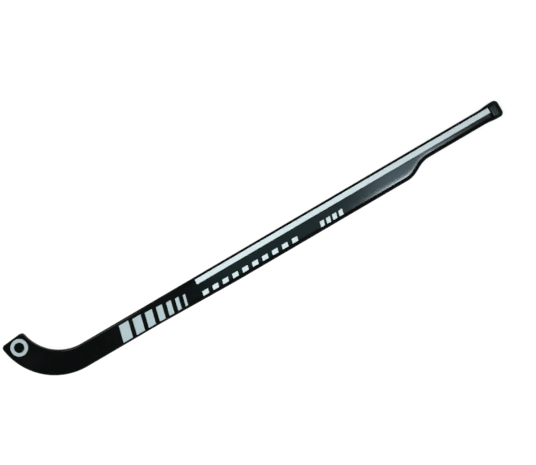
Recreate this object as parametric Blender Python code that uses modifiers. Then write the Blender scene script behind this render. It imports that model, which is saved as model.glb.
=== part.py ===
# Goalkeeper's rink hockey stick, lying flat: a bent stack of wood laminations between
# two thick edge strips, a fibre skin on each flat face, a moulded cap on the butt and
# a printed stripe on the front face. Metres, +Z up, +X along the shaft to the butt,
# +Y to the side that the toe points to. The origin is on the lying face, on the centre
# line of the shaft, where the shaft runs into the bend.

from math import ceil, cos, pi, radians, sin, tan

import bmesh
import bpy
from mathutils import Matrix, Vector

# Plan of the stick. Lengths along the shaft start at the end of the bend, and depths
# are measured down from the straight upper edge.
shaft_length = 0.908
shaft_width = 0.0472
neck_width = 0.0439
neck_length = 0.150
taper_length = 0.165
taper_blend_radius = 1.5
grip_width = 0.0291
grip_length = 0.1740
shoulder_angle = radians(25)
shoulder_top_radius = 0.055
shoulder_foot_radius = 0.080
flare_depth = 0.0022
flare_run = 0.018
flare_blend_radius = 0.090
butt_run = 0.018
butt_corner_extra = 0.0025

# Hook
hook_width = 0.049
bend_angle = radians(78)
bend_radius = 0.085
heel_ease = 0.0115
toe_straight = 0.0008
toe_cut_angle = radians(6)
toe_corner_extra = 0.0015

# Section of the stick
thickness = 0.020
edge_radius = 0.006
skin_thickness = 0.0006
upper_strip_depth = 0.0035
lower_strip_depth = 0.0040
lamination_count = 14
least_layer = 0.0008
glue_gap = 0.0003

# Butt cap, which sits on a tenon
cap_length = 0.021
cap_side_wall = 0.003
cap_end_wall = 0.0067
fit_gap = 0.0003

# Printed stripe
stripe_start = 0.2466
stripe_inset = 0.0045
stripe_width = 0.0104
film_thickness = 0.0002
film_gap = 0.0001

# Fineness of the round stretches
arc_step = radians(5)
least_arc_steps = 3
edge_steps = 5
weld_distance = 0.000001
flat_angle = radians(0.5)
smooth_angle = radians(35)
past_the_edge = 0.012

# Worked out from the sizes above
upper_edge = shaft_width / 2
lower_edge = upper_edge - shaft_width
neck_edge = upper_edge - neck_width
grip_edge = upper_edge - grip_width
shoulder_run = (shaft_width - grip_width) / tan(shoulder_angle)
shoulder_foot = shaft_length - grip_length
grip_start = shoulder_foot + shoulder_foot_radius * tan(shoulder_angle / 2)
flare_end = shaft_length - butt_run
flare_start = flare_end - flare_run
heel_radius = bend_radius + hook_width - heel_ease
toe_corner_radius = edge_radius + toe_corner_extra
toe_length = toe_straight + toe_corner_radius * tan(radians(45) - toe_cut_angle / 2)
butt_corner_radius = edge_radius + butt_corner_extra
core_depth = min(neck_width, shaft_width, hook_width) - lower_strip_depth
lamination_depth = (core_depth - upper_strip_depth) / lamination_count
grip_lamination = ceil((grip_width - least_layer - upper_strip_depth) / lamination_depth)
joint_x = shaft_length - cap_length
tenon_end = shaft_length - cap_end_wall - fit_gap
tenon_low = cap_side_wall
tenon_high = thickness - cap_side_wall
core_low = skin_thickness + glue_gap
core_high = thickness - skin_thickness - glue_gap


def clear_scene():
    for old in list(bpy.data.objects):
        bpy.data.objects.remove(old, do_unlink=True)


def new_collection(name):
    collection = bpy.data.collections.new(name)
    bpy.context.scene.collection.children.link(collection)
    return collection


def new_material(name, color, roughness, metallic=0.0):
    material = bpy.data.materials.new(name)
    material.use_nodes = True
    shader = material.node_tree.nodes["Principled BSDF"]
    shader.inputs["Base Color"].default_value = (*color, 1.0)
    shader.inputs["Roughness"].default_value = roughness
    shader.inputs["Metallic"].default_value = metallic
    material.diffuse_color = (*color, 1.0)
    return material


def rounded_outline(corners):
    # Each corner is x, y and the radius that rounds it; 0 keeps it sharp.
    points = []
    for index, (x, y, radius) in enumerate(corners):
        corner = Vector((x, y))
        if radius == 0:
            points.append(corner)
            continue
        to_last = (Vector(corners[index - 1][:2]) - corner).normalized()
        to_next = (Vector(corners[(index + 1) % len(corners)][:2]) - corner).normalized()
        half_angle = to_last.angle(to_next) / 2
        centre = corner + (to_last + to_next).normalized() * radius / sin(half_angle)
        spoke = corner + to_last * radius / tan(half_angle) - centre
        turn = pi - 2 * half_angle
        if to_last.cross(to_next) > 0:
            turn = -turn
        steps = max(least_arc_steps, ceil(abs(turn) / arc_step))
        for step in range(steps + 1):
            points.append(centre + Matrix.Rotation(turn * step / steps, 2) @ spoke)
    return points


def bend_corner(depth):
    # Where the lines at this depth along shaft and toe would meet without the bend
    reach = (bend_radius + depth) * tan(bend_angle / 2)
    return Vector((-reach, upper_edge - depth))


def toe_point(depth, length):
    # A point on the toe, this far past the end of the bend
    reach = (bend_radius + depth) * tan(bend_angle / 2) + length
    return bend_corner(depth) + reach * Vector((-cos(bend_angle), sin(bend_angle)))


def heel_corner():
    # Where the outer line of the toe meets the lower line of the neck
    outer = toe_point(hook_width, 0)
    drop = outer.y - neck_edge
    return Vector((outer.x + drop / tan(bend_angle), outer.y - drop))


def stick_corners():
    # The whole silhouette, cap included, as corners with their rounding
    outer_toe_length = toe_length + hook_width * tan(toe_cut_angle)
    return [
        (*bend_corner(0), bend_radius),
        (*toe_point(0, toe_length), toe_corner_radius),
        (*toe_point(hook_width, outer_toe_length), toe_corner_radius),
        (*heel_corner(), heel_radius),
        (neck_length, neck_edge, taper_blend_radius),
        (neck_length + taper_length, lower_edge, taper_blend_radius),
        (shoulder_foot - shoulder_run, lower_edge, shoulder_top_radius),
        (shoulder_foot, grip_edge, shoulder_foot_radius),
        (flare_start, grip_edge, flare_blend_radius),
        (flare_end, grip_edge - flare_depth, flare_blend_radius),
        (shaft_length, grip_edge - flare_depth, butt_corner_radius),
        (shaft_length, upper_edge + flare_depth, butt_corner_radius),
        (flare_end, upper_edge + flare_depth, flare_blend_radius),
        (flare_start, upper_edge, flare_blend_radius),
    ]


def strip_corners(top_depth, foot_depth, end_x, end_depth=None):
    # A strip that follows the bend between two depths, long enough at the toe to be cut.
    # With end_depth, it is thicker past the shoulder.
    corners = [
        (end_x, upper_edge - top_depth, 0),
        (*bend_corner(top_depth), bend_radius + top_depth),
        (*toe_point(top_depth, toe_length + past_the_edge), 0),
        (*toe_point(foot_depth, toe_length + past_the_edge), 0),
        (*bend_corner(foot_depth), bend_radius + foot_depth),
    ]
    if end_depth is None:
        corners.append((end_x, upper_edge - foot_depth, 0))
    else:
        corners.append((grip_start, upper_edge - foot_depth, 0))
        corners.append((grip_start, upper_edge - end_depth, 0))
        corners.append((end_x, upper_edge - end_depth, 0))
    return corners


def box_corners(low_x, high_x, low_y, high_y):
    return [
        (low_x, low_y, 0),
        (high_x, low_y, 0),
        (high_x, high_y, 0),
        (low_x, high_y, 0),
    ]


def plate(name, corners, bottom, top, collection):
    # A flat outline made solid between two heights
    points = rounded_outline(corners)
    curve = bpy.data.curves.new(name, "CURVE")
    curve.dimensions = "2D"
    curve.fill_mode = "BOTH"
    curve.extrude = (top - bottom) / 2
    spline = curve.splines.new("POLY")
    spline.points.add(len(points) - 1)
    for spline_point, point in zip(spline.points, points):
        spline_point.co = (point.x, point.y, 0, 1)
    spline.use_cyclic_u = True
    guide = bpy.data.objects.new(name + "_outline", curve)
    guide.location.z = (top + bottom) / 2
    collection.objects.link(guide)
    bpy.context.view_layer.update()
    evaluated = guide.evaluated_get(bpy.context.evaluated_depsgraph_get())
    mesh = bpy.data.meshes.new_from_object(evaluated)
    mesh.name = name
    solid = bmesh.new()
    solid.from_mesh(mesh)
    bmesh.ops.remove_doubles(solid, verts=solid.verts, dist=weld_distance)
    bmesh.ops.dissolve_limit(
        solid, angle_limit=flat_angle, verts=[], edges=solid.edges
    )
    bmesh.ops.recalc_face_normals(solid, faces=solid.faces)
    solid.to_mesh(mesh)
    solid.free()
    piece = bpy.data.objects.new(name, mesh)
    piece.matrix_world = guide.matrix_world
    collection.objects.link(piece)
    bpy.data.objects.remove(guide, do_unlink=True)
    return piece


def boolean(piece, operation, cutter):
    modifier = piece.modifiers.new(operation.lower() + "_" + cutter.name, "BOOLEAN")
    modifier.operation = operation
    modifier.object = cutter
    modifier.solver = "EXACT"


def finish(piece, material):
    piece.data.materials.append(material)
    piece.data.shade_smooth()
    piece.data.set_sharp_from_angle(angle=smooth_angle)


def hide_cutter(cutter):
    cutter.hide_render = True
    cutter.display_type = "WIRE"


def make_stick_form(cutters):
    # The shaped stick as one solid, which every glued layer is trimmed to
    form = plate("stick_form", stick_corners(), 0, thickness, cutters)
    rounding = form.modifiers.new("rounded_edges", "BEVEL")
    rounding.width = edge_radius
    rounding.segments = edge_steps
    rounding.limit_method = "ANGLE"
    rounding.angle_limit = radians(60)
    rounding.use_clamp_overlap = False
    hide_cutter(form)
    return form


def lamination_top(number):
    return upper_strip_depth + (number - 1) * lamination_depth


def make_tenon_waste(cutters):
    # The wood sawn off above and below the tenon, past the end of the skins
    waste = []
    end_x = shaft_length + past_the_edge
    side = shaft_width + past_the_edge
    for name, bottom, top in (
        ("tenon_waste_below", -past_the_edge, tenon_low),
        ("tenon_waste_above", tenon_high, thickness + past_the_edge),
    ):
        corners = box_corners(joint_x, end_x, -side, side)
        cutter = plate(name, corners, bottom, top, cutters)
        hide_cutter(cutter)
        waste.append(cutter)
    return waste


def make_laminations(parts, form, waste, woods):
    # The first ones run on into the tenon, one is the lower edge of the grip and
    # stops at the cap, and the rest run out in the slope of the shoulder.
    for number in range(1, lamination_count + 1):
        top_depth = lamination_top(number)
        foot_depth = lamination_top(number + 1) - glue_gap
        end_depth = None
        if number < grip_lamination:
            end_x = tenon_end
        elif number == grip_lamination:
            end_x = joint_x
            end_depth = grip_width + flare_depth + past_the_edge
        else:
            end_x = grip_start - glue_gap
        corners = strip_corners(top_depth, foot_depth, end_x, end_depth)
        name = f"core_lamination_{number:02d}"
        layer = plate(name, corners, core_low, core_high, parts)
        boolean(layer, "INTERSECT", form)
        if number < grip_lamination:
            for cutter in waste:
                boolean(layer, "DIFFERENCE", cutter)
        finish(layer, woods[number % len(woods)])


def make_edge_strips(parts, form, wood):
    upper = strip_corners(-past_the_edge, upper_strip_depth - glue_gap, joint_x)
    lower = strip_corners(core_depth, hook_width + past_the_edge, joint_x)
    for name, corners in (("upper_edge_strip", upper), ("lower_edge_strip", lower)):
        strip = plate(name, corners, core_low, core_high, parts)
        boolean(strip, "INTERSECT", form)
        finish(strip, wood)


def make_face_skins(parts, form, fibre):
    corners = strip_corners(-past_the_edge, hook_width + past_the_edge, joint_x)
    for name, bottom, top in (
        ("back_face_skin", -past_the_edge, skin_thickness),
        ("front_face_skin", thickness - skin_thickness, thickness + past_the_edge),
    ):
        skin = plate(name, corners, bottom, top, parts)
        boolean(skin, "INTERSECT", form)
        finish(skin, fibre)


def make_butt_cap(parts, cutters, form, rubber):
    end_x = shaft_length + past_the_edge
    side = shaft_width + past_the_edge
    corners = box_corners(joint_x + fit_gap, end_x, -side, side)
    cap = plate("butt_cap", corners, -past_the_edge, thickness + past_the_edge, parts)
    boolean(cap, "INTERSECT", form)
    tenon_foot = upper_edge - lamination_top(grip_lamination) + glue_gap
    tenon_top = upper_edge - lamination_top(1)
    corners = box_corners(
        joint_x - past_the_edge,
        tenon_end + fit_gap,
        tenon_foot - fit_gap,
        tenon_top + fit_gap,
    )
    socket = plate("cap_socket", corners, tenon_low - fit_gap, tenon_high + fit_gap, cutters)
    hide_cutter(socket)
    boolean(cap, "DIFFERENCE", socket)
    finish(cap, rubber)


def make_stripe(parts, film):
    high = upper_edge - stripe_inset
    corners = box_corners(stripe_start, joint_x, high - stripe_width, high)
    bottom = thickness + film_gap
    stripe = plate("front_stripe", corners, bottom, bottom + film_thickness, parts)
    finish(stripe, film)


def build_stick():
    clear_scene()
    parts = new_collection("goalkeeper_stick")
    cutters = new_collection("cutters")
    poplar = new_material("poplar", (0.72, 0.58, 0.38), 0.6)
    ash = new_material("ash", (0.55, 0.38, 0.22), 0.6)
    edge_lacquer = new_material("lacquered_ash_edge", (0.012, 0.014, 0.015), 0.22)
    skin_lacquer = new_material("lacquered_fibre_skin", (0.010, 0.012, 0.013), 0.18)
    cap_rubber = new_material("cap_rubber", (0.018, 0.026, 0.030), 0.45)
    stripe_film = new_material("silver_white_print", (0.66, 0.78, 0.80), 0.35)
    form = make_stick_form(cutters)
    waste = make_tenon_waste(cutters)
    make_laminations(parts, form, waste, (ash, poplar, poplar))
    make_edge_strips(parts, form, edge_lacquer)
    make_face_skins(parts, form, skin_lacquer)
    make_butt_cap(parts, cutters, form, cap_rubber)
    make_stripe(parts, stripe_film)


build_stick()
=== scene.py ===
# The looks of a goalkeeper's rink hockey stick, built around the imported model.
# Metres, in the model's own frame: +X along the shaft to the butt, +Z up from the face it lies on.

from math import ceil, cos, pi, radians, sin, sqrt, tan

import bmesh
import bpy
from mathutils import Matrix, Vector
from mathutils.bvhtree import BVHTree


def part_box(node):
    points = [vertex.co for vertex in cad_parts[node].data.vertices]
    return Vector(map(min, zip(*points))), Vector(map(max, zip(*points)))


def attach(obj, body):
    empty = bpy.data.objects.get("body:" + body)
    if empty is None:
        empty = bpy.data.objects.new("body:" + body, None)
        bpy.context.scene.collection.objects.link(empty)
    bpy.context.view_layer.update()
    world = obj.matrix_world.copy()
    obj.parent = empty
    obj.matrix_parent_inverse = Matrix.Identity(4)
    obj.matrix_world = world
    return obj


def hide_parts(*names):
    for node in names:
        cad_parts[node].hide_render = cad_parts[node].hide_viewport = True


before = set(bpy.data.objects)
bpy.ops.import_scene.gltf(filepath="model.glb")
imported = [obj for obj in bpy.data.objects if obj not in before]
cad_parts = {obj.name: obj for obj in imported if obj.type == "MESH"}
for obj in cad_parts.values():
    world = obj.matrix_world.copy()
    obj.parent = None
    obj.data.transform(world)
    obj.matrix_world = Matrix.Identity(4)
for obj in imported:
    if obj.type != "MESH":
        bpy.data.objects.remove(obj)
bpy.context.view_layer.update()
print("Frame loaded")

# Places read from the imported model
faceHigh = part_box("front_face_skin")[1]
capLow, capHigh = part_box("butt_cap")
stripeLow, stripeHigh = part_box("front_stripe")
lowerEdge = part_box("lower_edge_strip")[0].y
upperEdge = -lowerEdge
jointX = faceHigh.x
buttX = capHigh.x
topZ = faceHigh.z
middleZ = topZ / 2
insideY = 0.010  # lies inside both the shaft and the narrower grip

# The stick in plan: lengths along the shaft from the end of the bend, depths from the upper edge
stick = {
    "neckWidth": 0.0439,
    "neckLength": 0.150,
    "taperLength": 0.165,
    "taperRound": 1.5,
    "gripWidth": 0.0291,
    "gripLength": 0.1754,
    "shoulderSlope": radians(28.5),
    "shoulderTopRound": 0.050,
    "shoulderFootRound": 0.050,
    "flareDepth": 0.0022,
    "flareRun": 0.018,
    "flareRound": 0.090,
    "buttRun": 0.018,
    "buttCornerRound": 0.0085,
    "hookWidth": 0.049,
    "bendAngle": radians(78),
    "bendRadius": 0.085,
    "heelEase": 0.0115,  # how much smaller the heel's round is than one about the bend's centre
    "toeStraight": 0.0008,
    "toeCutAngle": radians(6),
    "toeCornerRound": 0.0075,
    "arcStep": radians(1.5),
    "fewestArcSteps": 3,
}


def bendCorner(depth):
    # where the lines at this depth along shaft and toe would meet without the bend
    reach = (stick["bendRadius"] + depth) * tan(stick["bendAngle"] / 2)
    return Vector((-reach, upperEdge - depth, 0))


def toePoint(depth, length):
    # a point on the toe, this far past the end of the bend
    reach = (stick["bendRadius"] + depth) * tan(stick["bendAngle"] / 2) + length
    along = Vector((-cos(stick["bendAngle"]), sin(stick["bendAngle"]), 0))
    return bendCorner(depth) + reach * along


def toeCut():
    # both ends of the cut across the toe, before its corners are rounded
    cut = stick["toeCutAngle"]
    innerLength = stick["toeStraight"] + stick["toeCornerRound"] * tan(radians(45) - cut / 2)
    outerLength = innerLength + stick["hookWidth"] * tan(cut)
    return toePoint(0, innerLength), toePoint(stick["hookWidth"], outerLength)


def planCorners():
    # the whole silhouette as corners with the radius that rounds each one
    neckEdge = upperEdge - stick["neckWidth"]
    gripEdge = upperEdge - stick["gripWidth"]
    taperEnd = stick["neckLength"] + stick["taperLength"]
    shoulderFoot = buttX - stick["gripLength"]
    shoulderRun = (gripEdge - lowerEdge) / tan(stick["shoulderSlope"])
    flare = stick["flareDepth"]
    flareEnd = buttX - stick["buttRun"]
    flareStart = flareEnd - stick["flareRun"]
    innerToe, outerToe = toeCut()
    outerLine = toePoint(stick["hookWidth"], 0)
    drop = outerLine.y - neckEdge
    heel = Vector((outerLine.x + drop / tan(stick["bendAngle"]), neckEdge, 0))
    heelRound = stick["bendRadius"] + stick["hookWidth"] - stick["heelEase"]
    return [
        (bendCorner(0), stick["bendRadius"]),
        (innerToe, stick["toeCornerRound"]),
        (outerToe, stick["toeCornerRound"]),
        (heel, heelRound),
        (Vector((stick["neckLength"], neckEdge, 0)), stick["taperRound"]),
        (Vector((taperEnd, lowerEdge, 0)), stick["taperRound"]),
        (Vector((shoulderFoot - shoulderRun, lowerEdge, 0)), stick["shoulderTopRound"]),
        (Vector((shoulderFoot, gripEdge, 0)), stick["shoulderFootRound"]),
        (Vector((flareStart, gripEdge, 0)), stick["flareRound"]),
        (Vector((flareEnd, gripEdge - flare, 0)), stick["flareRound"]),
        (Vector((buttX, gripEdge - flare, 0)), stick["buttCornerRound"]),
        (Vector((buttX, upperEdge + flare, 0)), stick["buttCornerRound"]),
        (Vector((flareEnd, upperEdge + flare, 0)), stick["flareRound"]),
        (Vector((flareStart, upperEdge, 0)), stick["flareRound"]),
    ]


def planWall(corners):
    # the silhouette as an upright wall, which the pieces below are fitted to
    bm = bmesh.new()
    ends = []
    for index, (corner, radius) in enumerate(corners):
        toLast = (corners[index - 1][0] - corner).normalized()
        toNext = (corners[(index + 1) % len(corners)][0] - corner).normalized()
        half = toLast.angle(toNext) / 2
        centre = corner + (toLast + toNext).normalized() * radius / sin(half)
        turn = pi - 2 * half
        if toLast.cross(toNext).z > 0:
            turn = -turn
        first = bm.verts.new(corner + toLast * radius / tan(half))
        spun = bmesh.ops.spin(
            bm,
            geom=[first],
            cent=centre,
            axis=(0, 0, 1),
            angle=turn,
            steps=max(stick["fewestArcSteps"], ceil(abs(turn) / stick["arcStep"])),
        )
        last = [piece for piece in spun["geom_last"] if isinstance(piece, bmesh.types.BMVert)]
        ends.append((first, last[0]))
    for index, (first, last) in enumerate(ends):
        bm.edges.new((last, ends[(index + 1) % len(ends)][0]))
    raised = bmesh.ops.extrude_edge_only(bm, edges=bm.edges[:])
    tops = [piece for piece in raised["geom"] if isinstance(piece, bmesh.types.BMVert)]
    bmesh.ops.translate(bm, verts=tops, vec=(0, 0, topZ))
    wall = BVHTree.FromBMesh(bm)
    bm.free()
    return wall


wall = planWall(planCorners())
print("Silhouette laid out")

# The lacquered body and how its edges are rounded
body = {
    "edgeRound": 0.0072,
    "edgeHeight": 0.006,
    "crownReach": 0.018,  # the face rises very slightly for this far in from the edge
    "crownShare": 0.185,
    "coatInset": 0.00004,
    "jointLip": 0.0009,
    "spigot": 0.00025,
}

# How finely the pieces are divided
grid = {
    "roundSteps": 12,
    "crownShares": (0.14, 0.32, 0.54, 0.80),  # places between the arris and the end of the crown
    "edgeShare": 0.46,  # the most of the width that one edge takes up where the stick is narrow
    "middleColumns": 4,
    "endSteps": 12,
    "lipSteps": 4,
    "bendSteps": 60,
    "shaftStep": 0.0035,
    "mergeDistance": 0.000001,
}


def edgeDistance(x, y):
    return wall.find_nearest(Vector((x, y, middleZ)))[3]


def roundDrop(distance, reach, height):
    # how far a quarter round of this reach and height has fallen at this distance
    if distance >= reach:
        return 0.0
    return height * (1 - sqrt(max(0.0, 1 - (1 - distance / reach) ** 2)))


def edgeDrop(distance, sizes):
    # a round arris that runs on into a very slight crown
    arris = roundDrop(distance, sizes["edgeRound"], sizes["edgeHeight"])
    crown = roundDrop(distance, sizes["crownReach"], sizes["edgeHeight"])
    return arris * (1 - sizes["crownShare"]) + crown * sizes["crownShare"]


def gradedSteps(length, count):
    # closer together towards the edge, as a round needs
    return [length * (1 - cos(pi / 2 * step / count)) for step in range(count + 1)]


def crossRow(place, direction, lip=0.0):
    # a row across the stick; the lip is how far it lies inside the full section
    return {"place": place, "direction": direction.normalized(), "lip": lip}


def toeRows():
    # rows beside the cut of the toe, from the end inwards
    innerToe, outerToe = toeCut()
    cutLine = (outerToe - innerToe).normalized()
    inward = Vector((-cutLine.y, cutLine.x, 0))
    if inward.dot(bendCorner(0) - innerToe) < 0:
        inward = -inward
    middle = (innerToe + outerToe) / 2
    rows = []
    for step in gradedSteps(stick["toeCornerRound"], grid["endSteps"]):
        distance = max(step, body["coatInset"])
        rows.append(crossRow(middle + inward * distance, cutLine))
    return rows


def bendRows():
    centre = Vector((0, upperEdge + stick["bendRadius"], 0))
    middle = stick["bendRadius"] + stick["hookWidth"] / 2
    rows = []
    for step in range(grid["bendSteps"], -1, -1):
        angle = stick["bendAngle"] * step / grid["bendSteps"]
        spoke = Vector((-sin(angle), -cos(angle), 0))
        rows.append(crossRow(centre + spoke * middle, spoke))
    return rows


def shaftRow(x, lip=0.0):
    return crossRow(Vector((x, insideY, 0)), Vector((0, -1, 0)), lip)


def shaftRows(startX, endX, pitch):
    count = ceil((endX - startX) / pitch)
    return [shaftRow(startX + (endX - startX) * step / count) for step in range(1, count)]


def lipRows(edgeX, lip, side):
    # rows that round the section off at a joint; side is 1 where the piece ends at edgeX
    rows = []
    for step in gradedSteps(lip, grid["lipSteps"]):
        inset = roundDrop(step, lip, lip)
        rows.append(shaftRow(edgeX - side * step, inset))
    return rows[::-1] if side > 0 else rows


def crossPlaces(width, sizes):
    # places across a row, close together over each round edge
    edge = gradedSteps(sizes["edgeRound"], grid["roundSteps"])
    reach = sizes["crownReach"] - sizes["edgeRound"]
    near = edge + [sizes["edgeRound"] + reach * share for share in grid["crownShares"]]
    squeeze = min(1.0, width * grid["edgeShare"] / near[-1])
    near = [place * squeeze for place in near]
    count = grid["middleColumns"]
    span = width - 2 * near[-1]
    middle = [near[-1] + span * step / count for step in range(1, count)]
    return near + middle + [width - place for place in reversed(near)]


def fitRow(row):
    # where a row starts at the silhouette, and how wide the stick is there
    place = row["place"] + Vector((0, 0, middleZ))
    inner = wall.ray_cast(place, -row["direction"])[0]
    outer = wall.ray_cast(place, row["direction"])[0]
    margin = row["direction"] * (body["coatInset"] + row["lip"])
    inner, outer = inner + margin, outer - margin
    return inner, (outer - inner).length


def meshPiece(name, bm):
    mesh = bpy.data.meshes.new(name)
    bm.to_mesh(mesh)
    bm.free()
    piece = bpy.data.objects.new(name, mesh)
    bpy.context.scene.collection.objects.link(piece)
    return piece


def fitRows(rows, sizes):
    # each row with its start, its places across and how far along the stick it lies
    fitted = []
    travelled = 0.0
    for index, row in enumerate(rows):
        if index:
            travelled += (row["place"] - rows[index - 1]["place"]).length
        start, width = fitRow(row)
        fitted.append((row, start, crossPlaces(width, sizes), travelled))
    return fitted


def layOverFace(bm, rows, sizes):
    # a flat grid, its vertices moved onto the rounded face row by row
    along = bm.verts.layers.float.new("along")
    across = bm.verts.layers.float.new("across")
    fitted = fitRows(rows, sizes)
    lastRow = len(rows) - 1
    lastColumn = len(fitted[0][2]) - 1
    bmesh.ops.create_grid(bm, x_segments=lastRow, y_segments=lastColumn, size=0.5)
    for vert in bm.verts:
        row, start, places, length = fitted[round((vert.co.x + 0.5) * lastRow)]
        offset = places[round((vert.co.y + 0.5) * lastColumn)]
        spot = start + row["direction"] * offset
        distance = max(0.0, edgeDistance(spot.x, spot.y) - row["lip"])
        vert[along] = length
        vert[across] = offset
        vert.co = (spot.x, spot.y, topZ - edgeDrop(distance, sizes) - row["lip"])


def closeBelow(bm):
    # draws the rim down to half the thickness and mirrors the front to the back
    across = bm.verts.layers.float["across"]
    rim = [edge for edge in bm.edges if edge.is_boundary]
    drawn = bmesh.ops.extrude_edge_only(bm, edges=rim)
    for piece in drawn["geom"]:
        if isinstance(piece, bmesh.types.BMVert):
            towards = 1 if piece[across] > stick["gripWidth"] / 2 else -1
            piece[across] += towards * (piece.co.z - middleZ)
            piece.co.z = middleZ
    everything = bm.verts[:] + bm.edges[:] + bm.faces[:]
    bmesh.ops.mirror(bm, geom=everything, matrix=Matrix.Translation((0, 0, -middleZ)), axis="Z")
    bmesh.ops.remove_doubles(bm, verts=bm.verts[:], dist=grid["mergeDistance"])
    bmesh.ops.recalc_face_normals(bm, faces=bm.faces[:])


def mapGrain(bm):
    # the UV map that the finishes follow round the bend
    along = bm.verts.layers.float["along"]
    across = bm.verts.layers.float["across"]
    grain = bm.loops.layers.uv.new("grain")
    for face in bm.faces:
        for loop in face.loops:
            loop[grain].uv = (loop.vert[along], loop.vert[across])


def stickPiece(name, rows, sizes):
    # a closed length of the stick
    bm = bmesh.new()
    layOverFace(bm, rows, sizes)
    closeBelow(bm)
    mapGrain(bm)
    for face in bm.faces:
        face.smooth = True
    return meshPiece(name, bm)


def bodyRows():
    # the lacquered part, which ends in a short spigot inside the cap's joint
    lip = body["jointLip"]
    rows = toeRows() + bendRows() + shaftRows(0.0, jointX - lip, grid["shaftStep"])
    rows += lipRows(jointX, lip, 1)
    spigotInset = lip + body["spigot"]
    rows.append(shaftRow(jointX, spigotInset))
    rows.append(shaftRow(jointX + body["spigot"], spigotInset))
    return rows


lacqueredStick = stickPiece("lacquered_stick", bodyRows(), body)
print("Stick body modelled")

# The moulded cap on the butt
cap = {
    "edgeRound": 0.0075,
    "edgeHeight": 0.006,
    "crownReach": 0.0105,
    "crownShare": 0.35,
    "lip": 0.0016,
    "step": 0.0014,
}


def capRows():
    endZone = stick["buttCornerRound"]
    rows = lipRows(capLow.x, cap["lip"], -1)
    rows += shaftRows(capLow.x + cap["lip"], buttX - endZone, cap["step"])
    for step in reversed(gradedSteps(endZone, grid["endSteps"])):
        rows.append(shaftRow(buttX - max(step, body["coatInset"])))
    return rows


buttMoulding = stickPiece("butt_moulding", capRows(), cap)
print("Butt cap modelled")

# Prints on the front face: the long stripe and plain marks, each a thin film that follows the face
prints = {
    "filmHeight": 0.00012,
    "filmSink": 0.00004,
    "stepAlong": 0.0036,
    "stepAcross": 0.0012,
    "cutDistance": 0.0000001,
    "cornerRound": 0.0005,
    "cornerSteps": 4,
    "lean": 0.25,
    "stripeMargin": 0.0018,
    "stripeInset": 0.0003,
}
bars = {
    "startX": 0.072,
    "lowY": -0.0160,
    "highY": 0.0160,
    "lastHighY": 0.0050,
    "count": 7,
    "widest": 0.0200,
    "narrowest": 0.0050,
    "gap": 0.0088,
}
dashes = {
    "startX": 0.246,
    "endX": 0.462,
    "lowY": -0.0160,
    "highY": -0.0075,
    "count": 10,
    "share": 0.56,  # of the pitch that one bar takes up
}
ticks = {
    "startX": 0.502,
    "endX": 0.556,
    "lowY": -0.0165,
    "highY": -0.0060,
    "count": 4,
    "share": 0.62,
}
ring = {
    "centre": (-0.1026, 0.0752),
    "outer": 0.0165,
    "inner": 0.0100,
    "segments": 96,
}


def faceHeight(x, y):
    return topZ - edgeDrop(edgeDistance(x, y), body)


def layFilm(name, bm, cornerRound=0.0):
    # cuts flat shapes finely, gives them a thickness and lays them on the face
    if cornerRound:
        bmesh.ops.bevel(
            bm,
            geom=bm.verts[:],
            offset=cornerRound,
            segments=prints["cornerSteps"],
            profile=0.5,
            affect="VERTICES",
            material=-1,
        )
    lowX = min(vert.co.x for vert in bm.verts)
    highX = max(vert.co.x for vert in bm.verts)
    lowY = min(vert.co.y for vert in bm.verts)
    highY = max(vert.co.y for vert in bm.verts)
    for low, high, normal, step in (
        (lowX, highX, Vector((1, 0, 0)), prints["stepAlong"]),
        (lowY, highY, Vector((0, 1, 0)), prints["stepAcross"]),
    ):
        for number in range(1, ceil((high - low) / step)):
            bmesh.ops.bisect_plane(
                bm,
                geom=bm.verts[:] + bm.edges[:] + bm.faces[:],
                plane_co=normal * (low + number * step),
                plane_no=normal,
                dist=prints["cutDistance"],
            )
    raised = bmesh.ops.extrude_face_region(bm, geom=bm.faces[:])
    tops = [piece for piece in raised["geom"] if isinstance(piece, bmesh.types.BMVert)]
    for vert in bm.verts:
        vert.co.z = faceHeight(vert.co.x, vert.co.y) - prints["filmSink"]
    for vert in tops:
        vert.co.z += prints["filmSink"] + prints["filmHeight"]
    bmesh.ops.recalc_face_normals(bm, faces=bm.faces[:])
    return meshPiece(name, bm)


def addSlantedBar(bm, startX, width, lowY, highY, lean=prints["lean"]):
    slant = lean * (highY - lowY)
    spots = (
        (startX, lowY),
        (startX + width, lowY),
        (startX + width + slant, highY),
        (startX + slant, highY),
    )
    bm.faces.new([bm.verts.new((x, y, 0)) for x, y in spots])


def makeStripe():
    bm = bmesh.new()
    length = jointX - prints["stripeMargin"] - stripeLow.x
    lowY = stripeLow.y + prints["stripeInset"]
    highY = stripeHigh.y - prints["stripeInset"]
    addSlantedBar(bm, stripeLow.x, length, lowY, highY, lean=0)
    return layFilm("stripe_film", bm)


def makeBars():
    # slanted bars that grow narrower and shorter towards the butt
    bm = bmesh.new()
    x = bars["startX"]
    for number in range(bars["count"]):
        share = number / (bars["count"] - 1)
        width = bars["widest"] + (bars["narrowest"] - bars["widest"]) * share
        highY = bars["highY"] + (bars["lastHighY"] - bars["highY"]) * share
        addSlantedBar(bm, x, width, bars["lowY"], highY)
        x += width + bars["gap"]
    return layFilm("bar_film", bm, prints["cornerRound"])


def makeEvenBars(name, sizes):
    bm = bmesh.new()
    pitch = (sizes["endX"] - sizes["startX"]) / sizes["count"]
    for number in range(sizes["count"]):
        startX = sizes["startX"] + pitch * number
        addSlantedBar(bm, startX, pitch * sizes["share"], sizes["lowY"], sizes["highY"])
    return layFilm(name, bm, prints["cornerRound"])


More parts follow.
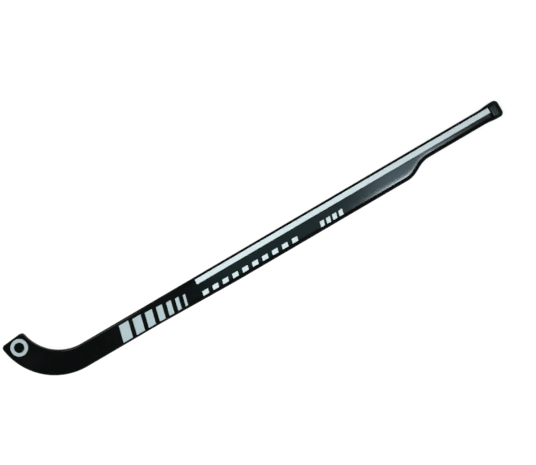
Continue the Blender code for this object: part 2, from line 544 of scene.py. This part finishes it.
def makeRing():
    bm = bmesh.new()
    bmesh.ops.create_circle(bm, segments=ring["segments"], radius=ring["outer"])
    inside = bmesh.ops.extrude_edge_only(bm, edges=bm.edges[:])
    inner = [piece for piece in inside["geom"] if isinstance(piece, bmesh.types.BMVert)]
    scale = ring["inner"] / ring["outer"]
    bmesh.ops.scale(bm, verts=inner, vec=(scale, scale, 1))
    bmesh.ops.translate(bm, verts=bm.verts[:], vec=(*ring["centre"], 0))
    return layFilm("ring_film", bm)


stripeFilm = makeStripe()
barFilm = makeBars()
dashFilm = makeEvenBars("dash_film", dashes)
tickFilm = makeEvenBars("tick_film", ticks)
ringFilm = makeRing()
print("Prints laid on the face")


def newFinish(name):
    material = bpy.data.materials.new(name)
    material.use_nodes = True
    tree = material.node_tree
    return material, tree, tree.nodes["Principled BSDF"]


def noiseNode(tree, vector, scale, detail, roughness=0.55):
    noise = tree.nodes.new("ShaderNodeTexNoise")
    noise.inputs["Scale"].default_value = scale
    noise.inputs["Detail"].default_value = detail
    noise.inputs["Roughness"].default_value = roughness
    tree.links.new(vector, noise.inputs["Vector"])
    return noise.outputs["Fac"]


def rampNode(tree, value, stretch, low=0.0, high=1.0):
    # spreads a stretch of a pattern over a range of values
    ramp = tree.nodes.new("ShaderNodeMapRange")
    ramp.inputs["From Min"].default_value = stretch[0]
    ramp.inputs["From Max"].default_value = stretch[1]
    ramp.inputs["To Min"].default_value = low
    ramp.inputs["To Max"].default_value = high
    tree.links.new(value, ramp.inputs["Value"])
    return ramp.outputs["Result"]


def blendNode(tree, factor, first, second):
    # mixes two colours, each a fixed one or another node's output
    blend = tree.nodes.new("ShaderNodeMix")
    blend.data_type = "RGBA"
    for name, colour in (("A", first), ("B", second)):
        if isinstance(colour, tuple):
            blend.inputs[name].default_value = (*colour, 1)
        else:
            tree.links.new(colour, blend.inputs[name])
    tree.links.new(factor, blend.inputs["Factor"])
    return blend.outputs["Result"]


def bumpNode(tree, height, distance, strength, below=None):
    bump = tree.nodes.new("ShaderNodeBump")
    bump.inputs["Distance"].default_value = distance
    bump.inputs["Strength"].default_value = strength
    tree.links.new(height, bump.inputs["Height"])
    if below is not None:
        tree.links.new(below, bump.inputs["Normal"])
    return bump.outputs["Normal"]


# Black lacquer over fibre cloth: faint weave, a soft ripple along the stick and hairline scuffs
lacquerLook = {
    "base": (0.0016, 0.0024, 0.0020),
    "worn": (0.0046, 0.0056, 0.0051),
    "scuffed": (0.013, 0.017, 0.016),
    "roughness": 0.12,
    "scuffRoughness": 0.24,
    "ior": 1.46,
    "acrossScale": 14,  # how much finer the long patterns are across the stick than along it
    "hairlineScale": 160,
    "blotchScale": 18,
    "rippleScale": 22,
    "rippleHeight": 0.00006,
    "weaveScale": 90,
    "weaveWobble": 1.2,
    "weaveHeight": 0.000004,
    "peelScale": 240,
    "peelHeight": 0.000018,
}


def makeLacquer():
    look = lacquerLook
    material, tree, shader = newFinish("black_lacquer")
    grain = tree.nodes.new("ShaderNodeUVMap")
    grain.uv_map = "grain"
    stretch = tree.nodes.new("ShaderNodeMapping")
    stretch.inputs["Scale"].default_value = (1, look["acrossScale"], 1)
    tree.links.new(grain.outputs["UV"], stretch.inputs["Vector"])
    longGrain = stretch.outputs["Vector"]
    place = tree.nodes.new("ShaderNodeTexCoord").outputs["Object"]
    hairlines = noiseNode(tree, longGrain, look["hairlineScale"], 6, 0.7)
    blotches = noiseNode(tree, place, look["blotchScale"], 3)
    peel = noiseNode(tree, place, look["peelScale"], 2)
    ripple = noiseNode(tree, longGrain, look["rippleScale"], 2)
    weave = tree.nodes.new("ShaderNodeTexWave")
    weave.bands_direction = "DIAGONAL"
    weave.inputs["Scale"].default_value = look["weaveScale"]
    weave.inputs["Distortion"].default_value = look["weaveWobble"]
    tree.links.new(grain.outputs["UV"], weave.inputs["Vector"])
    wear = rampNode(tree, blotches, (0.45, 0.75))
    aged = blendNode(tree, wear, look["base"], look["worn"])
    scuffs = rampNode(tree, hairlines, (0.53, 0.74))
    scuffed = blendNode(tree, scuffs, aged, look["scuffed"])
    tree.links.new(scuffed, shader.inputs["Base Color"])
    gloss = rampNode(tree, hairlines, (0.52, 0.80), look["roughness"], look["scuffRoughness"])
    tree.links.new(gloss, shader.inputs["Roughness"])
    shader.inputs["IOR"].default_value = look["ior"]
    soft = bumpNode(tree, ripple, look["rippleHeight"], 0.5)
    cloth = bumpNode(tree, weave.outputs["Fac"], look["weaveHeight"], 0.5, soft)
    skin = bumpNode(tree, peel, look["peelHeight"], 0.7, cloth)
    tree.links.new(skin, shader.inputs["Normal"])
    return material


# Print films, with slight mottling and rubbed spots
whiteLook = {
    "base": (0.690, 0.790, 0.805),
    "dull": (0.600, 0.720, 0.750),
    "roughness": 0.34,
    "rubbedRoughness": 0.48,
    "mottleScale": 420,
    "mottleHeight": 0.00001,
    "patchScale": 26,
}
greyLook = {
    **whiteLook,
    "base": (0.480, 0.585, 0.610),
    "dull": (0.390, 0.500, 0.535),
    "roughness": 0.38,
    "rubbedRoughness": 0.52,
}


def makeFilm(name, look):
    material, tree, shader = newFinish(name)
    place = tree.nodes.new("ShaderNodeTexCoord").outputs["Object"]
    mottle = noiseNode(tree, place, look["mottleScale"], 5, 0.7)
    patches = noiseNode(tree, place, look["patchScale"], 3)
    speckle = rampNode(tree, mottle, (0.42, 0.72), 0, 0.45)
    mottled = blendNode(tree, speckle, look["base"], look["dull"])
    tree.links.new(mottled, shader.inputs["Base Color"])
    gloss = rampNode(tree, patches, (0.35, 0.65), look["roughness"], look["rubbedRoughness"])
    tree.links.new(gloss, shader.inputs["Roughness"])
    texture = bumpNode(tree, mottle, look["mottleHeight"], 0.5)
    tree.links.new(texture, shader.inputs["Normal"])
    return material


# Moulded rubber with a fine leathery grain and a dusty bloom
rubberLook = {
    "base": (0.0030, 0.0045, 0.0045),
    "dusty": (0.011, 0.017, 0.0165),
    "roughness": 0.21,
    "dustyRoughness": 0.33,
    "bloomScale": 130,
    "bloomHeight": 0.00003,
    "grainScale": 1500,
    "grainHeight": 0.00003,
}


def makeRubber():
    look = rubberLook
    material, tree, shader = newFinish("cap_rubber")
    place = tree.nodes.new("ShaderNodeTexCoord").outputs["Object"]
    bloom = noiseNode(tree, place, look["bloomScale"], 5, 0.65)
    grain = tree.nodes.new("ShaderNodeTexVoronoi")
    grain.inputs["Scale"].default_value = look["grainScale"]
    tree.links.new(place, grain.inputs["Vector"])
    dust = rampNode(tree, bloom, (0.40, 0.70))
    dusted = blendNode(tree, dust, look["base"], look["dusty"])
    tree.links.new(dusted, shader.inputs["Base Color"])
    gloss = rampNode(tree, bloom, (0.35, 0.65), look["roughness"], look["dustyRoughness"])
    tree.links.new(gloss, shader.inputs["Roughness"])
    soft = bumpNode(tree, bloom, look["bloomHeight"], 0.4)
    leathery = bumpNode(tree, grain.outputs["Distance"], look["grainHeight"], 0.5, soft)
    tree.links.new(leathery, shader.inputs["Normal"])
    return material


def dress(piece, material, slotName, *nodesReplaced):
    piece.data.materials.append(material)
    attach(piece, "root")
    if nodesReplaced:
        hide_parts(*nodesReplaced)


layerNodes = [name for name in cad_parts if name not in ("butt_cap", "front_stripe")]
whiteFilm = makeFilm("silver_white_film", whiteLook)
greyFilm = makeFilm("silver_grey_film", greyLook)
dress(lacqueredStick, makeLacquer(), "skin_lacquer", *layerNodes)
dress(buttMoulding, makeRubber(), "cap_rubber", "butt_cap")
dress(stripeFilm, whiteFilm, "silver_print", "front_stripe")
for film, finish in (
    (barFilm, greyFilm),
    (dashFilm, whiteFilm),
    (tickFilm, whiteFilm),
    (ringFilm, greyFilm),
):
    dress(film, finish, "silver_print")
print("Finishes applied")

# The photograph's frame, looking straight down on the face
view = {
    "centre": (0.4107, 0.0257),
    "width": 1.0104,
    "height": 0.014,
    "lens": 85,
    "sensor": 36,
    "turn": radians(-30.38),
}
cameraHeight = view["width"] * view["lens"] / view["sensor"] + view["height"]
panelHeight = cameraHeight + 0.05

# The pale floor and the room that reflections see
studio = {
    "floorColour": (0.34, 0.34, 0.34),
    "floorGlow": 0.82,
    "floorShine": 0.12,  # the share of that glow which reflections see
    "floorSize": 40,
    "ceiling": (0.036, 0.042, 0.046),
    "horizon": (0.20, 0.21, 0.22),
    "horizonTop": 0.25,
}

# Soft lamps; one without an aim points straight down, and one that shines shows in reflections
lamps = {
    "side_left": {
        "place": (0.32, 0.72, 0.72),
        "aim": (0.32, 0.0, 0.0),
        "size": (0.45, 0.50),
        "power": 5.4,
    },
    "side_right": {
        "place": (0.32, -0.72, 0.72),
        "aim": (0.32, 0.0, 0.0),
        "size": (0.45, 0.50),
        "power": 5.4,
    },
    "end_toe": {
        "place": (-1.30, 0.05, 1.30),
        "aim": (0.20, 0.0, 0.0),
        "size": (0.90, 0.90),
        "power": 11.5,
    },
    "end_butt": {
        "place": (2.10, 0.0, 1.30),
        "aim": (0.60, 0.0, 0.0),
        "size": (0.90, 0.90),
        "power": 5.1,
    },
    "hook_window": {
        "place": (-0.01, 0.50, 0.25),
        "aim": (-0.02, 0.03, 0.01),
        "size": (0.14, 0.14),
        "power": 0.13,
        "shines": True,
    },
    "overhead_wash": {
        "place": (0.66, 0.0, cameraHeight + 0.10),
        "size": (1.10, 0.60),
        "power": 1.1,
        "colour": (0.40, 0.86, 1.0),
        "shines": True,
    },
    "overhead_panel": {
        "place": (1.00, -0.05, panelHeight),
        "size": (0.36, 0.30),
        "power": 0.66,
        "colour": (0.54, 0.86, 1.0),
        "shines": True,
    },
    "shoulder_strip": {
        "place": (0.975, -0.242, panelHeight),
        "size": (0.25, 0.156),
        "power": 3.7,
        "colour": (0.80, 0.92, 1.0),
        "shines": True,
    },
    "grip_strip": {
        "place": (1.19, -0.242, panelHeight),
        "size": (0.18, 0.156),
        "power": 0.20,
        "colour": (0.80, 0.92, 1.0),
        "shines": True,
    },
    "cap_panel": {
        "place": (1.39, -0.02, panelHeight),
        "size": (0.10, 0.10),
        "power": 0.22,
        "colour": (0.76, 1.0, 1.0),
        "shines": True,
    },
}


def addCamera():
    lens = bpy.data.cameras.new("photo_camera")
    lens.lens = view["lens"]
    lens.sensor_width = view["sensor"]
    camera = bpy.data.objects.new("photo_camera", lens)
    camera.location = (*view["centre"], cameraHeight)
    camera.rotation_euler = (0, 0, view["turn"])
    bpy.context.scene.collection.objects.link(camera)
    bpy.context.scene.camera = camera


def addLamp(name, values):
    place = Vector(values["place"])
    aim = Vector(values.get("aim", (place.x, place.y, 0.0)))
    light = bpy.data.lights.new(name, "AREA")
    light.shape = "RECTANGLE"
    light.size, light.size_y = values["size"]
    light.energy = values["power"]
    light.color = values.get("colour", (1.0, 1.0, 1.0))
    lamp = bpy.data.objects.new(name, light)
    lamp.location = place
    lamp.rotation_euler = (aim - place).to_track_quat("-Z", "Y").to_euler()
    lamp.visible_camera = False
    lamp.visible_glossy = values.get("shines", False)
    bpy.context.scene.collection.objects.link(lamp)


def mathNode(tree, operation, value, factor, addend=None):
    maths = tree.nodes.new("ShaderNodeMath")
    maths.operation = operation
    maths.inputs[1].default_value = factor
    tree.links.new(value, maths.inputs[0])
    if addend is not None:
        tree.links.new(addend, maths.inputs[2])
    return maths.outputs[0]


def addFloor():
    # a matt floor that glows white for the camera and faintly in reflections
    bm = bmesh.new()
    bmesh.ops.create_grid(bm, x_segments=1, y_segments=1, size=studio["floorSize"] / 2)
    floor = meshPiece("floor", bm)
    floor.location = (*view["centre"], 0)
    material, tree, shader = newFinish("pale_floor")
    tree.nodes.remove(shader)
    matt = tree.nodes.new("ShaderNodeBsdfDiffuse")
    matt.inputs["Color"].default_value = (*studio["floorColour"], 1)
    rays = tree.nodes.new("ShaderNodeLightPath").outputs
    seen = rays["Is Camera Ray"]
    for kind in ("Is Glossy Ray", "Is Transmission Ray"):
        seen = mathNode(tree, "MULTIPLY_ADD", rays[kind], studio["floorShine"], seen)
    glow = tree.nodes.new("ShaderNodeEmission")
    strength = mathNode(tree, "MULTIPLY", seen, studio["floorGlow"])
    tree.links.new(strength, glow.inputs["Strength"])
    both = tree.nodes.new("ShaderNodeAddShader")
    tree.links.new(matt.outputs[0], both.inputs[0])
    tree.links.new(glow.outputs[0], both.inputs[1])
    tree.links.new(both.outputs[0], tree.nodes["Material Output"].inputs["Surface"])
    floor.data.materials.append(material)


def lightRoom():
    # pale walls near the horizon under a dark ceiling; the camera sees plain white
    world = bpy.data.worlds.new("studio")
    world.use_nodes = True
    tree = world.node_tree
    direction = tree.nodes.new("ShaderNodeTexCoord").outputs["Generated"]
    split = tree.nodes.new("ShaderNodeSeparateXYZ")
    tree.links.new(direction, split.inputs[0])
    height = rampNode(tree, split.outputs["Z"], (0.0, studio["horizonTop"]))
    room = blendNode(tree, height, studio["horizon"], studio["ceiling"])
    seen = tree.nodes.new("ShaderNodeLightPath").outputs["Is Camera Ray"]
    shown = blendNode(tree, seen, room, (1.0, 1.0, 1.0))
    tree.links.new(shown, tree.nodes["Background"].inputs["Color"])
    bpy.context.scene.world = world


addCamera()
addFloor()
lightRoom()
for name, values in lamps.items():
    addLamp(name, values)
bpy.context.scene.view_settings.view_transform = "Standard"
print("Camera, floor and lamps placed")
